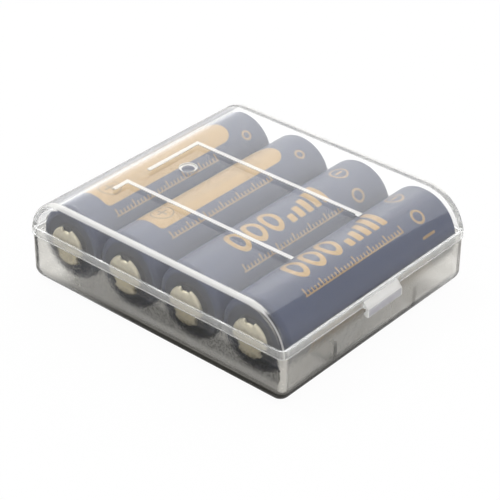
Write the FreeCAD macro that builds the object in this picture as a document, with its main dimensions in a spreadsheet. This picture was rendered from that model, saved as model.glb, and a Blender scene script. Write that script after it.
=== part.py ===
import FreeCAD, Part
import math
import os
import Sketcher
from types import SimpleNamespace

# Storage case for four cylindrical cells: a frosted tray and a clear hinged lid.
# X runs along the cells with their positive ends at -X, the latch is at -Y, the hinge at +Y.
# The origin is the middle of the tray's underside. Lengths are in millimetres.

cell_names = ["cell_1", "cell_2", "cell_3", "cell_4"]
vent_count = 3

# Where the web's outer edge leaves the ear's round, across and down, in ear radii
ear_touch_shares = (0.8, 0.6)

driving_sizes = {
    # The cell that the case is made for
    "cell_diameter": 14.4,
    "cell_length": 49.5,
    "sleeve_thickness": 0.15,
    "sleeve_slack": 0.02,
    "button_height": 1.3,
    "shoulder_width": 3.4,
    "flange_inset": 0.83,
    "flange_thickness": 0.3,
    "disc_thickness": 0.3,
    "washer_thickness": 0.3,
    "washer_clearance": 0.4,
    "vent_width": 2.2,
    "vent_depth": 0.9,
    "vent_length": 0.75,
    # Room round the cells
    "cell_gap": 0.3,
    "side_gap": 0.3,
    "end_gap": 0.35,
    "head_gap": 0.3,
    "cell_lift": 1.4,
    # Moulded walls
    "wall": 1.1,
    "floor": 1.2,
    "roof": 1.1,
    "corner_round": 1.6,
    "base_round": 2.8,
    "lid_edge_round": 0.9,
    # Seam between the tray and the lid
    "seam_drop": 0.15,
    "seam_gap": 0.05,
    "band_height": 1.65,
    "band_proud": 0.12,
    "lip_height": 1.3,
    "lip_thickness": 0.5,
    "lip_clearance": 0.1,
    # Saddle ribs in the tray
    "rib_offset": 11.5,
    "rib_thickness": 1.0,
    "rib_height": 4.3,
    "saddle_clearance": 0.25,
    # Latch tab on the lid and its catch on the tray
    "tab_width": 9.8,
    "tab_depth": 1.4,
    "tab_face": 1.6,
    "tab_drop": 1.55,
    "tab_tip": 0.55,
    "tab_pocket": 0.75,
    "tab_round": 0.25,
    "hook_depth": 0.35,
    "hook_rise": 0.35,
    "hook_flat": 0.3,
    "catch_width": 7.0,
    "catch_depth": 0.6,
    "catch_height": 0.55,
    "catch_flat": 0.15,
    "catch_inset": 0.2,
    # Clip hinge
    "hinge_offset": 1.75,
    "hinge_spacing": 30.0,
    "pin_diameter": 1.6,
    "pin_clearance": 0.05,
    "knuckle_diameter": 2.8,
    "knuckle_width": 6.0,
    "clip_mouth": 1.3,
    "ear_diameter": 2.6,
    "ear_thickness": 1.2,
    "ear_gap": 0.3,
    "ear_drop": 4.0,
    # Raised lines and the moulding gate on the lid
    "line_width": 0.8,
    "line_height": 0.25,
    "line_far": 7.9,
    "line_near": 11.3,
    "line_span": 40.0,
    "line_far_hook": 14.0,
    "line_near_hook": 4.0,
    "line_end_hook": 1.2,
    "gate_offset": 14.8,
    "gate_diameter": 3.4,
    "gate_depth": 0.35,
    # How far one form runs into another that it joins or cuts
    "overrun": 0.3,
}


class Size:
    # A length with its text for the document's expressions and its present value

    def __init__(self, text, value):
        self.text = text
        self.value = value

    def __add__(self, other):
        return joined(self, "+", other, self.value + plain(other))

    def __sub__(self, other):
        return joined(self, "-", other, self.value - plain(other))

    def __mul__(self, other):
        return joined(self, "*", other, self.value * plain(other))

    def __truediv__(self, other):
        return joined(self, "/", other, self.value / plain(other))

    def __neg__(self):
        return Size("(-1 * " + self.text + ")", -self.value)


def plain(item):
    return item.value if isinstance(item, Size) else item


def joined(left, sign, right, value):
    right_text = right.text if isinstance(right, Size) else str(right)
    return Size("(" + left.text + " " + sign + " " + right_text + ")", value)


doc = FreeCAD.newDocument("BatteryCase")
sheet = doc.addObject("Spreadsheet::Sheet", "Sizes")
for row, (name, number) in enumerate(driving_sizes.items(), 1):
    sheet.set("A" + str(row), name)
    sheet.set("B" + str(row), str(number))
    sheet.setAlias("B" + str(row), name)
doc.recompute()

s = SimpleNamespace(**{name: Size("Sizes." + name, number) for name, number in driving_sizes.items()})
zero = Size("0", 0)

# Sizes that follow from the driving ones
cell_radius = s.cell_diameter / 2
cell_pitch = s.cell_diameter + s.cell_gap
row_share = (len(cell_names) - 1) / 2
half_width = cell_pitch * row_share + cell_radius + s.side_gap + s.wall
half_length = s.cell_length / 2 + s.end_gap + s.wall
cell_height = s.floor + s.cell_lift + cell_radius
case_height = cell_height + cell_radius + s.head_gap + s.roof
seam_height = cell_height - s.seam_drop
band_top = seam_height + s.band_height
lid_round = case_height - band_top
hinge_y = half_width + s.hinge_offset
hinge_place = s.hinge_spacing / 2
skirt = s.wall - s.lip_thickness - s.lip_clearance
cell_places = [cell_pitch * (row_share - index) for index in range(len(cell_names))]


# The sketcher's own numbers for its axes and for the points of a line, arc or circle
level_axis, upright_axis = range(-1, -3, -1)
start_point, end_point, centre_point = range(1, 4)

full_turn = 360
same_place = 1e-4


# Helpers for sketches and features

def bind(item, name, size):
    setattr(item, name, size.value)
    item.setExpression(name, size.text)


def new_body(label):
    body = doc.addObject("PartDesign::Body", label)
    body.Label = label
    return body


def origin_feature(body, role):
    return [item for item in body.Origin.OriginFeatures if item.Role == role][0]


def new_sketch(body, name, role, shift=None):
    sketch = body.newObject("Sketcher::SketchObject", name)
    sketch.AttachmentSupport = (origin_feature(body, role), "")
    sketch.MapMode = "FlatFace"
    if shift is not None:
        sketch.AttachmentOffset = FreeCAD.Placement(FreeCAD.Vector(0, 0, shift.value), FreeCAD.Rotation())
        sketch.setExpression("AttachmentOffset.Base.z", shift.text)
    return sketch


def spot(x, y):
    return FreeCAD.Vector(x.value, y.value, 0)


def hold(sketch, kind, size, *places):
    index = sketch.addConstraint(Sketcher.Constraint(kind, *places, size.value))
    sketch.setExpression("Constraints[" + str(index) + "]", size.text)


def hold_point(sketch, item, end, x, y):
    # A point on an axis is held there, and any other by its two distances from the origin
    if x is zero:
        sketch.addConstraint(Sketcher.Constraint("PointOnObject", item, end, upright_axis))
    else:
        hold(sketch, "DistanceX", x, level_axis, start_point, item, end)
    if y is zero:
        sketch.addConstraint(Sketcher.Constraint("PointOnObject", item, end, level_axis))
    else:
        hold(sketch, "DistanceY", y, level_axis, start_point, item, end)


def draw_outline(sketch, steps):
    # Each step runs to its x and y, straight or on an arc with the given centre and radius
    drawn = []
    for index, step in enumerate(steps):
        start = spot(*steps[index - 1][:2])
        end = spot(*step[:2])
        if len(step) == 2:
            item = sketch.addGeometry(Part.LineSegment(start, end))
            drawn.append((item, start_point, end_point))
            continue
        centre = spot(*step[2:4])
        radius = step[4]
        angle_in = math.atan2(start.y - centre.y, start.x - centre.x)
        angle_out = math.atan2(end.y - centre.y, end.x - centre.x)
        circle = Part.Circle(centre, FreeCAD.Vector(0, 0, 1), radius.value)
        if (angle_out - angle_in) % (2 * math.pi) < math.pi:
            item = sketch.addGeometry(Part.ArcOfCircle(circle, angle_in, angle_out))
            drawn.append((item, start_point, end_point))
        else:
            item = sketch.addGeometry(Part.ArcOfCircle(circle, angle_out, angle_in))
            drawn.append((item, end_point, start_point))
        hold(sketch, "Radius", radius, item)
    for index, (item, first, last) in enumerate(drawn):
        before = drawn[index - 1]
        sketch.addConstraint(Sketcher.Constraint("Coincident", before[0], before[2], item, first))
        hold_point(sketch, item, last, *steps[index][:2])


def draw_circle(sketch, x, y, radius):
    circle = Part.Circle(spot(x, y), FreeCAD.Vector(0, 0, 1), radius.value)
    item = sketch.addGeometry(circle)
    hold_point(sketch, item, centre_point, x, y)
    hold(sketch, "Radius", radius, item)


def rounded_box(half_x, half_y, radius):
    left, right = -half_x, half_x
    front, back = -half_y, half_y
    return [
        (right - radius, front),
        (right, front + radius, right - radius, front + radius, radius),
        (right, back - radius),
        (right - radius, back, right - radius, back - radius, radius),
        (left + radius, back),
        (left, back - radius, left + radius, back - radius, radius),
        (left, front + radius),
        (left + radius, front, left + radius, front + radius, radius),
    ]


def box(low_x, low_y, high_x, high_y):
    return [(high_x, low_y), (high_x, high_y), (low_x, high_y), (low_x, low_y)]


def volume_of(body):
    return body.Shape.Volume if body.Shape and not body.Shape.isNull() else 0.0


def extrude(body, kind, name, sketch, length, symmetric=False, reverse=False):
    before = volume_of(body)
    feature = body.newObject("PartDesign::" + kind, name)
    feature.Profile = sketch
    feature.SideType = "Symmetric" if symmetric else "One side"
    feature.Reversed = reverse
    bind(feature, "Length", length)
    doc.recompute()
    grew = volume_of(body) > before
    if grew != (kind == "Pad"):
        raise RuntimeError(name + " did not change the solid as it should")
    return feature


def revolve(body, name, sketch):
    feature = body.newObject("PartDesign::Revolution", name)
    feature.Profile = sketch
    feature.ReferenceAxis = (sketch, ["H_Axis"])
    feature.Angle = full_turn
    doc.recompute()


def mirror(body, name, originals):
    feature = body.newObject("PartDesign::Mirrored", name)
    feature.Originals = originals
    feature.MirrorPlane = (origin_feature(body, "YZ_Plane"), [""])
    body.Tip = feature
    doc.recompute()


def fillet(body, name, base, radius, wanted):
    names = ["Edge" + str(index) for index, edge in enumerate(base.Shape.Edges, 1) if wanted(edge)]
    if not names:
        raise RuntimeError(name + " found no edges")
    feature = body.newObject("PartDesign::Fillet", name)
    feature.Base = (base, names)
    bind(feature, "Radius", radius)
    doc.recompute()
    return feature


def near(first, second):
    return abs(first - second) < same_place


def lies_at_x(edge, x):
    # Both signs of x count
    box_of_edge = edge.BoundBox
    return near(abs(box_of_edge.XMin), x) and near(box_of_edge.XMin, box_of_edge.XMax)


# Tray

def trough(inset, bottom, top):
    # Section across the cells: upright walls, round lower edges and a flat underside
    side = half_width - inset
    radius = s.base_round - inset
    return [
        (side, top),
        (-side, top),
        (-side, bottom + radius),
        (radius - side, bottom, radius - side, bottom + radius, radius),
        (side - radius, bottom),
        (side, bottom + radius, side - radius, bottom + radius, radius),
    ]


def make_tray():
    body = new_body("tray")
    sketch = new_sketch(body, "TrayOutside", "YZ_Plane")
    draw_outline(sketch, trough(zero, zero, seam_height))
    outside = extrude(body, "Pad", "TrayBlock", sketch, half_length * 2, symmetric=True)

    def end_edge(edge):
        level = near(edge.BoundBox.ZMin, seam_height.value)
        return lies_at_x(edge, half_length.value) and not level
    fillet(body, "TrayEndRound", outside, s.corner_round, end_edge)

    sketch = new_sketch(body, "LipOutline", "XY_Plane", seam_height - s.overrun)
    inset = skirt + s.lip_clearance
    draw_outline(sketch, rounded_box(half_length - inset, half_width - inset, s.corner_round - inset))
    extrude(body, "Pad", "Lip", sketch, s.lip_height + s.overrun)

    sketch = new_sketch(body, "TrayInside", "YZ_Plane")
    draw_outline(sketch, trough(s.wall, s.floor, seam_height + s.lip_height + s.overrun))
    extrude(body, "Pocket", "TrayRoom", sketch, (half_length - s.wall) * 2, symmetric=True)

    sketch = new_sketch(body, "RibOutline", "YZ_Plane", s.rib_offset)
    rib_top = s.floor + s.rib_height
    draw_outline(sketch, trough(s.wall / 2, s.floor / 2, rib_top))
    made = [extrude(body, "Pad", "SaddleRib", sketch, s.rib_thickness, symmetric=True)]
    for name, place in zip(cell_names, cell_places):
        sketch = new_sketch(body, "SaddleOutline_" + name, "YZ_Plane", s.rib_offset)
        draw_circle(sketch, place, cell_height, cell_radius + s.saddle_clearance)
        depth = s.rib_thickness + s.overrun
        made.append(extrude(body, "Pocket", "Saddle_" + name, sketch, depth, symmetric=True))
    mirror(body, "SaddleRibs", made)

    make_catch(body)
    make_ears(body)
    return body


def make_catch(body):
    # A bead on the front wall that the lid's hook snaps under
    front = -half_width
    top = seam_height - s.catch_inset
    slope = (s.catch_height - s.catch_flat) / 2
    sketch = new_sketch(body, "CatchOutline", "YZ_Plane")
    draw_outline(sketch, [
        (front + s.overrun, top),
        (front, top),
        (front - s.catch_depth, top - slope),
        (front - s.catch_depth, top - slope - s.catch_flat),
        (front, top - s.catch_height),
        (front + s.overrun, top - s.catch_height),
    ])
    extrude(body, "Pad", "Catch", sketch, s.catch_width, symmetric=True)


def make_ears(body):
    # Two ears and a pin at each hinge place
    radius = s.ear_diameter / 2
    across_share, down_share = ear_touch_shares
    reach = s.knuckle_width / 2 + s.ear_gap + s.ear_thickness / 2
    made = []
    for index, place in enumerate([hinge_place - reach, hinge_place + reach], 1):
        sketch = new_sketch(body, "EarWeb" + str(index), "YZ_Plane", place)
        draw_outline(sketch, [
            (half_width - s.overrun, seam_height - s.ear_drop),
            (hinge_y + radius * across_share, seam_height - radius * down_share),
            (hinge_y, seam_height),
            (hinge_y - radius * across_share, seam_height - s.overrun),
            (half_width - s.overrun, seam_height - s.overrun),
        ])
        made.append(extrude(body, "Pad", "EarWebPad" + str(index), sketch, s.ear_thickness, symmetric=True))
        sketch = new_sketch(body, "EarEye" + str(index), "YZ_Plane", place)
        draw_circle(sketch, hinge_y, seam_height, radius)
        made.append(extrude(body, "Pad", "EarEyePad" + str(index), sketch, s.ear_thickness, symmetric=True))
    sketch = new_sketch(body, "PinOutline", "YZ_Plane", hinge_place)
    draw_circle(sketch, hinge_y, seam_height, s.pin_diameter / 2)
    made.append(extrude(body, "Pad", "Pin", sketch, reach * 2, symmetric=True))
    mirror(body, "Ears", made)


# Lid

def arch(side, radius, bottom, top):
    # Section across the cells: a flat roof that rounds down at the front and the back
    return [
        (-side, bottom),
        (side, bottom),
        (side, top - radius),
        (side - radius, top, side - radius, top - radius, radius),
        (radius - side, top),
        (-side, top - radius, radius - side, top - radius, radius),
    ]


def make_lid():
    body = new_body("lid")
    lid_bottom = seam_height + s.seam_gap
    sketch = new_sketch(body, "LidOutside", "YZ_Plane")
    draw_outline(sketch, arch(half_width, lid_round, lid_bottom, case_height))
    outside = extrude(body, "Pad", "LidBlock", sketch, half_length * 2, symmetric=True)

    def end_edge(edge):
        level = near(edge.BoundBox.ZMax, lid_bottom.value)
        return lies_at_x(edge, half_length.value) and not level
    fillet(body, "LidEndRound", outside, s.lid_edge_round, end_edge)

    sketch = new_sketch(body, "BandOutline", "XY_Plane", lid_bottom)
    long_half = half_length + s.band_proud
    wide_half = half_width + s.band_proud
    draw_outline(sketch, rounded_box(long_half, wide_half, s.corner_round + s.band_proud))
    extrude(body, "Pad", "Band", sketch, s.band_height - s.seam_gap)

    sketch = new_sketch(body, "TabOutline", "YZ_Plane")
    draw_outline(sketch, tab_section(lid_bottom))
    tab = extrude(body, "Pad", "Tab", sketch, s.tab_width, symmetric=True)

    def tab_edge(edge):
        front = -half_width - s.tab_depth
        upright = edge.BoundBox.ZLength > s.overrun.value
        return lies_at_x(edge, (s.tab_width / 2).value) and upright and near(edge.BoundBox.YMin, front.value)
    fillet(body, "TabRound", tab, s.tab_round, tab_edge)

    sketch = new_sketch(body, "LidInside", "YZ_Plane")
    inner = arch(half_width - s.wall, lid_round - s.wall, lid_bottom - s.overrun, case_height - s.roof)
    draw_outline(sketch, inner)
    extrude(body, "Pocket", "LidRoom", sketch, (half_length - s.wall) * 2, symmetric=True)

    sketch = new_sketch(body, "RabbetOutline", "XY_Plane", lid_bottom)
    draw_outline(sketch, rounded_box(half_length - skirt, half_width - skirt, s.corner_round - skirt))
    extrude(body, "Pocket", "Rabbet", sketch, s.lip_height + s.lip_clearance, reverse=True)

    make_knuckles(body, lid_bottom)
    make_lines(body)
    make_gate(body)
    return body


def tab_section(lid_bottom):
    # The tab leans out from the band, and its hook turns in below the catch
    front = -half_width
    face = front - s.tab_depth
    foot = seam_height - s.tab_drop
    return [
        (front + s.overrun, band_top),
        (front - s.band_proud, band_top),
        (face, foot + s.tab_face),
        (face, foot),
        (face + s.tab_tip, foot),
        (front - s.hook_depth, foot + s.hook_rise),
        (front - s.hook_depth, foot + s.hook_rise + s.hook_flat),
        (front - s.tab_pocket, foot + s.hook_rise * 2 + s.hook_flat),
        (front - s.tab_pocket, lid_bottom),
        (front + s.overrun, lid_bottom),
    ]


def make_knuckles(body, lid_bottom):
    # An open clip at each hinge place, carried by a short web on the band
    radius = s.knuckle_diameter / 2
    bore = s.pin_diameter / 2 + s.pin_clearance
    back = half_width - skirt / 2

    sketch = new_sketch(body, "ClipOutline", "YZ_Plane", hinge_place)
    draw_circle(sketch, hinge_y, seam_height, radius)
    clip = extrude(body, "Pad", "Clip", sketch, s.knuckle_width, symmetric=True)

    sketch = new_sketch(body, "ClipWebOutline", "YZ_Plane", hinge_place)
    draw_outline(sketch, [
        (back, lid_bottom),
        (hinge_y, lid_bottom),
        (hinge_y, seam_height + radius),
        (back, band_top),
    ])
    web = extrude(body, "Pad", "ClipWeb", sketch, s.knuckle_width, symmetric=True)

    sketch = new_sketch(body, "ClipBoreOutline", "YZ_Plane", hinge_place)
    draw_circle(sketch, hinge_y, seam_height, bore)
    hole = extrude(body, "Pocket", "ClipBore", sketch, s.knuckle_width + s.overrun, symmetric=True)

    sketch = new_sketch(body, "ClipMouthOutline", "YZ_Plane", hinge_place)
    mouth = s.clip_mouth / 2
    draw_outline(sketch, box(hinge_y - mouth, seam_height - radius - s.overrun, hinge_y + mouth, seam_height))
    opening = extrude(body, "Pocket", "ClipMouth", sketch, s.knuckle_width + s.overrun, symmetric=True)
    mirror(body, "Clips", [clip, web, hole, opening])


def make_lines(body):
    # Two raised lines across the lid, with hooked ends
    half_span = s.line_span / 2
    level = case_height - s.overrun
    height = s.line_height + s.overrun
    width = s.line_width

    far = new_sketch(body, "FarLineOutline", "XY_Plane", level)
    outer_x = s.line_far + width / 2
    inner_x = s.line_far - width / 2
    draw_outline(far, [
        (outer_x, -half_span),
        (outer_x, half_span),
        (outer_x - s.line_far_hook, half_span),
        (outer_x - s.line_far_hook, half_span - width),
        (inner_x, half_span - width),
        (inner_x, width - half_span),
        (outer_x - s.line_end_hook, width - half_span),
        (outer_x - s.line_end_hook, -half_span),
    ])
    extrude(body, "Pad", "FarLine", far, height)

    near_line = new_sketch(body, "NearLineOutline", "XY_Plane", level)
    outer_x = width / 2 - s.line_near
    inner_x = -s.line_near - width / 2
    draw_outline(near_line, [
        (outer_x, -half_span),
        (outer_x, half_span),
        (outer_x - s.line_near_hook, half_span),
        (outer_x - s.line_near_hook, half_span - width),
        (inner_x, half_span - width),
        (inner_x, -half_span),
    ])
    extrude(body, "Pad", "NearLine", near_line, height)


def make_gate(body):
    # The round recess where the plastic entered the mould
    sketch = new_sketch(body, "GateOutline", "XY_Plane", case_height)
    draw_circle(sketch, zero, s.gate_offset, s.gate_diameter / 2)
    extrude(body, "Pocket", "Gate", sketch, s.gate_depth)


# Cells, from the positive end backwards

cell_front = -s.cell_length / 2
cell_back = s.cell_length / 2
sleeve_front = cell_front + s.button_height
flange_front = sleeve_front + s.washer_thickness
disc_front = flange_front + s.flange_thickness
can_front = disc_front + s.disc_thickness
sleeve_bore = cell_radius - s.sleeve_thickness
can_radius = sleeve_bore - s.sleeve_slack
flange_radius = can_radius - s.flange_inset
button_radius = cell_radius - s.shoulder_width


def turned_body(label, place, section):
    # A piece turned about the cell's axis from its section, given as x and radius
    body = new_body(label)
    sketch = new_sketch(body, "Section", "XY_Plane")
    draw_outline(sketch, section)
    revolve(body, "Turned", sketch)
    body.Placement.Base = FreeCAD.Vector(0, place.value, cell_height.value)
    body.setExpression("Placement.Base.y", place.text)
    body.setExpression("Placement.Base.z", cell_height.text)
    return body


def make_can(name, place):
    # The sealed can is one solid: nothing opens it or shows its inside
    return turned_body(name + "_can", place, box(can_front, zero, cell_back, can_radius))


def make_disc(name, place):
    # The burst disc that closes the can below the cap
    return turned_body(name + "_vent_disc", place, box(disc_front, zero, can_front, flange_radius))


def make_cap(name, place):
    # A pressed cap with a flange, a raised button and vent windows round the button's edge
    body = turned_body(name + "_cap", place, [
        (cell_front, zero),
        (cell_front, button_radius),
        (flange_front, button_radius),
        (flange_front, flange_radius),
        (disc_front, flange_radius),
        (disc_front, zero),
    ])
    sketch = new_sketch(body, "VentOutline", "YZ_Plane", cell_front - s.overrun)
    low = button_radius - s.vent_length
    half_vent = s.vent_width / 2
    draw_outline(sketch, box(-half_vent, low, half_vent, button_radius + s.overrun))
    vent = extrude(body, "Pocket", "Vent", sketch, s.vent_depth + s.overrun, reverse=True)
    ring = body.newObject("PartDesign::PolarPattern", "Vents")
    ring.Originals = [vent]
    ring.Axis = (origin_feature(body, "X_Axis"), [""])
    ring.Angle = full_turn
    ring.Occurrences = vent_count
    body.Tip = ring
    doc.recompute()
    return body


def make_washer(name, place):
    # A flat insulating ring on the cap's flange, inside the sleeve's end
    hole = button_radius + s.washer_clearance
    return turned_body(name + "_insulating_washer", place, box(sleeve_front, hole, flange_front, can_radius))


def make_sleeve(name, place):
    return turned_body(name + "_sleeve", place, box(sleeve_front, sleeve_bore, cell_back, cell_radius))


bodies = [make_tray(), make_lid()]
for name, place in zip(cell_names, cell_places):
    for make in (make_can, make_disc, make_cap, make_washer, make_sleeve):
        bodies.append(make(name, place))

# Nothing is written unless every object and every shape is sound
doc.recompute()
for item in doc.Objects:
    if "Invalid" in item.State or "Error" in item.State:
        raise RuntimeError(item.Name + " is " + ", ".join(item.State))
os.makedirs("parts", exist_ok=True)
for body in bodies:
    shape = body.Shape
    if shape.isNull() or not shape.isValid() or len(shape.Solids) != 1:
        raise RuntimeError(body.Label + " has no sound solid")
for body in bodies:
    body.Shape.exportStep("parts/" + body.Label + ".step")
    print(body.Label, round(body.Shape.Volume, 2))
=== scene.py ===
import bmesh
import bpy
import math
from mathutils import Matrix, Vector


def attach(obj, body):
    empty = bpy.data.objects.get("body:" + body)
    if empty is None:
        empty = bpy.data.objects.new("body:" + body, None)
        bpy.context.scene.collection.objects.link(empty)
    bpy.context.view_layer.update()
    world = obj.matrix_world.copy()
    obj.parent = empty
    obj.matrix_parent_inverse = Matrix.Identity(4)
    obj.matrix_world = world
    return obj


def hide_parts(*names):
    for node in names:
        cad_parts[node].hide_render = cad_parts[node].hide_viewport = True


# Battery storage case: frosted tray, clear hinged lid, four printed cells.
# Settings are in millimetres and degrees; meshes are written in metres.

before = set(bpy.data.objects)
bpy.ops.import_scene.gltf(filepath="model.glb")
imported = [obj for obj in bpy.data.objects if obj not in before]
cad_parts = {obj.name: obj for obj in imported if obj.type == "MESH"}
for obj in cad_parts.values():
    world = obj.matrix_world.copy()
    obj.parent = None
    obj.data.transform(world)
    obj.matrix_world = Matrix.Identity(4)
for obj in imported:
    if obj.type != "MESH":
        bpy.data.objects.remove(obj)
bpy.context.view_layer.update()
mm = 0.001
# Points closer than this are one
weldGap = 0.0005 * mm
print("frame loaded:", len(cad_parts), "nodes")

case = {
    "halfLength": 26.2, "halfWidth": 30.65, "height": 18.4,
    "wall": 1.1, "floor": 1.2, "roof": 1.1,
    "seam": 9.65, "seamGap": 0.05, "bandTop": 11.3,
    "lidRound": 8.5, "lidEdge": 0.9, "baseRound": 2.8, "baseEndRound": 2.4, "cornerRound": 1.6,
    "baseCorner": 1.1, "lipHeight": 1.3, "skirt": 0.5, "lipInset": 0.6,
    "hingeY": 32.4, "hingeX": 15.0, "arcSteps": 18, "edgeSteps": 8,
    # How far one form runs into another that it joins or cuts
    "overrun": 0.3,
}
cellPlaces = {"cell_1": 22.05, "cell_2": 7.35, "cell_3": -7.35, "cell_4": -22.05}
cellAxis = 9.8
cellRadius = 7.2
cellPitch = 14.7


# One socket of a node tree, for shader values and for geometry fields alike

class Wire:
    def __init__(self, tree, socket=None):
        self.tree = tree
        self.socket = socket

    def node(self, kind, settings=None, values=None, out=0):
        made = self.tree.nodes.new(kind)
        for name, value in (settings or {}).items():
            setattr(made, name, value)
        for key, value in (values or {}).items():
            if isinstance(value, Wire):
                self.tree.links.new(value.socket, made.inputs[key])
            else:
                made.inputs[key].default_value = value
        return Wire(self.tree, made.outputs[out])

    def other(self, out):
        return Wire(self.tree, self.socket.node.outputs[out])

    def maths(self, operation, *others):
        values = {index: item for index, item in enumerate((self,) + others)}
        return self.node("ShaderNodeMath", {"operation": operation}, values)

    def __add__(self, other):
        return self.maths("ADD", other)

    def __sub__(self, other):
        return self.maths("SUBTRACT", other)

    def __rsub__(self, other):
        return (self * -1.0) + other

    def __mul__(self, other):
        return self.maths("MULTIPLY", other)

    def __truediv__(self, other):
        return self.maths("DIVIDE", other)

    def __mod__(self, other):
        return self.maths("FLOORED_MODULO", other)

    def __abs__(self):
        return self.maths("ABSOLUTE")

    def rise(self, low, high):
        # 0 below low, 1 above high, smooth between
        settings = {"interpolation_type": "SMOOTHSTEP"}
        return self.node("ShaderNodeMapRange", settings, {0: self, 1: low, 2: high, 3: 0.0, 4: 1.0})

    def blend(self, first, second):
        # This mask mixes two colours
        return self.node("ShaderNodeMix", {"data_type": "RGBA"}, {0: self, 6: first, 7: second}, 2)

    def mixed(self, first, second):
        # This mask mixes two shaders
        return self.node("ShaderNodeMixShader", None, {0: self, 1: first, 2: second})


def finish(last, kind, entry):
    # The tree's own output takes the last wire
    output = last.tree.nodes.new(kind)
    last.tree.links.new(last.socket, output.inputs[entry])


# Meshes

def meshPiece(name, points, faces):
    mesh = bpy.data.meshes.new(name)
    mesh.from_pydata([Vector(point) * mm for point in points], [], faces)
    mesh.update()
    return linked(name, mesh)


def linked(name, mesh):
    piece = bpy.data.objects.new(name, mesh)
    bpy.context.scene.collection.objects.link(piece)
    return piece


def loft(name, loops):
    # Closed form through loops with equal counts of points
    count = len(loops[0])
    points = [point for loop in loops for point in loop]
    faces = [tuple(reversed(range(count)))]
    for row in range(len(loops) - 1):
        base = row * count
        for here in range(count):
            after = (here + 1) % count
            faces.append((base + here, base + after, base + count + after, base + count + here))
    last = (len(loops) - 1) * count
    faces.append(tuple(range(last, last + count)))
    piece = meshPiece(name, points, faces)
    outward(piece.data)
    return piece


def outward(mesh):
    work = bmesh.new()
    work.from_mesh(mesh)
    bmesh.ops.remove_doubles(work, verts=work.verts, dist=weldGap)
    bmesh.ops.recalc_face_normals(work, faces=work.faces)
    work.to_mesh(mesh)
    work.free()


def arc(centre, radius, start, end, steps):
    turns = [math.radians(start + (end - start) * step / steps) for step in range(steps + 1)]
    return [(centre[0] + radius * math.cos(turn), centre[1] + radius * math.sin(turn)) for turn in turns]


def mirrored(half):
    return half + [(-across, up) for across, up in reversed(half)]


def archSection(inset, bottom, top):
    # Across the cells: flat roof, round front and back
    side = case["halfWidth"] - inset
    radius = case["lidRound"] - inset
    corner = (side - radius, top - radius)
    return mirrored([(side, bottom)] + arc(corner, radius, 0, 90, case["arcSteps"]))


def troughSection(inset, bottom, top):
    side = case["halfWidth"] - inset
    radius = case["baseRound"] - inset
    corner = (side - radius, bottom + radius)
    return mirrored(arc(corner, radius, -90, 0, case["arcSteps"]) + [(side, top)])


def roundedLoop(halfX, halfY, radius, level):
    quarter = arc((halfX - radius, halfY - radius), radius, 0, 90, case["edgeSteps"])
    half = quarter + [(-x, y) for x, y in reversed(quarter)]
    return [(x, y, level) for x, y in half + [(-x, -y) for x, y in half]]


def edgeRound(end, radius, steps):
    # x and inset from the flat end to the full section
    quarter = arc((0, 0), radius, 0, 90, steps)
    return [(end - radius + across, radius - inward) for across, inward in quarter]


def endRounded(name, end, radius, section):
    # A section run along X, rounded off towards both ends
    half = edgeRound(end, radius, case["edgeSteps"])
    places = [(-x, inset) for x, inset in half] + list(reversed(half))
    return loft(name, [[(x, y, z) for y, z in section(inset)] for x, inset in places])


def stacked(name, halfX, halfY, radius, levels):
    # Rounded rectangle with a height and an outset for each level
    return loft(name, [roundedLoop(halfX + out, halfY + out, radius + out, level) for level, out in levels])


def tub(name, top):
    # Upright walls on a rounded underside, whose ends are a little tighter than its sides
    def pulledIn(radius, level):
        return radius - math.sqrt(radius ** 2 - max(radius - level, 0.0) ** 2)

    quarter = arc((0, case["baseRound"]), case["baseRound"], -90, 0, case["arcSteps"])
    loops = []
    for level in [point[1] for point in quarter] + [top]:
        fromSide = pulledIn(case["baseRound"], level)
        fromEnd = pulledIn(case["baseEndRound"], level)
        tighter = (case["cornerRound"] - case["baseCorner"]) * fromSide / case["baseRound"]
        loops.append(roundedLoop(case["halfLength"] - fromEnd, case["halfWidth"] - fromSide,
                                 case["cornerRound"] - tighter, level))
    return loft(name, loops)


def prism(name, section, low, high, soft=0.0):
    piece = loft(name, [[(x, y, z) for y, z in section] for x in (low, high)])
    return softEdges(piece, soft)


def plate(name, outline, low, high, soft=0.0):
    piece = loft(name, [[(x, y, z) for x, y in outline] for z in (low, high)])
    return softEdges(piece, soft)


def rod(name, y, z, radius, low, high, steps=40):
    return prism(name, arc((y, z), radius, 0, 360, steps)[:-1], low, high)


def softEdges(piece, width):
    if width:
        bevel = piece.modifiers.new("soft", "BEVEL")
        bevel.width = width * mm
        bevel.segments = 3
        bevel.limit_method = "ANGLE"
        bevel.angle_limit = math.radians(25)
        piece.data = evaluated(piece)
        piece.modifiers.clear()
    return piece


def evaluated(piece):
    bpy.context.view_layer.update()
    graph = bpy.context.evaluated_depsgraph_get()
    final = piece.evaluated_get(graph)
    return bpy.data.meshes.new_from_object(final, preserve_all_data_layers=True, depsgraph=graph)


def combined(piece, joins, cuts):
    for tool, operation in [(item, "UNION") for item in joins] + [(item, "DIFFERENCE") for item in cuts]:
        step = piece.modifiers.new("step", "BOOLEAN")
        step.object = tool
        step.operation = operation
        step.solver = "EXACT"
    piece.data = evaluated(piece)
    piece.modifiers.clear()
    for tool in joins + cuts:
        bpy.data.objects.remove(tool)
    return piece


def smoothed(piece, angle=38):
    # Rounds shade smooth, flats stay flat
    mesh = piece.data
    for face in mesh.polygons:
        face.use_smooth = True
    mesh.set_sharp_from_angle(angle=math.radians(angle))
    weighted = piece.modifiers.new("flats", "WEIGHTED_NORMAL")
    weighted.keep_sharp = True
    piece.data = evaluated(piece)
    piece.modifiers.clear()
    piece.data.name = piece.name
    return piece


def settle(piece, body, slot, material, *nodes):
    piece.data.materials.clear()
    piece.data.materials.append(material)
    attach(piece, body)
    if nodes:
        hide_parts(*nodes)


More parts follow.
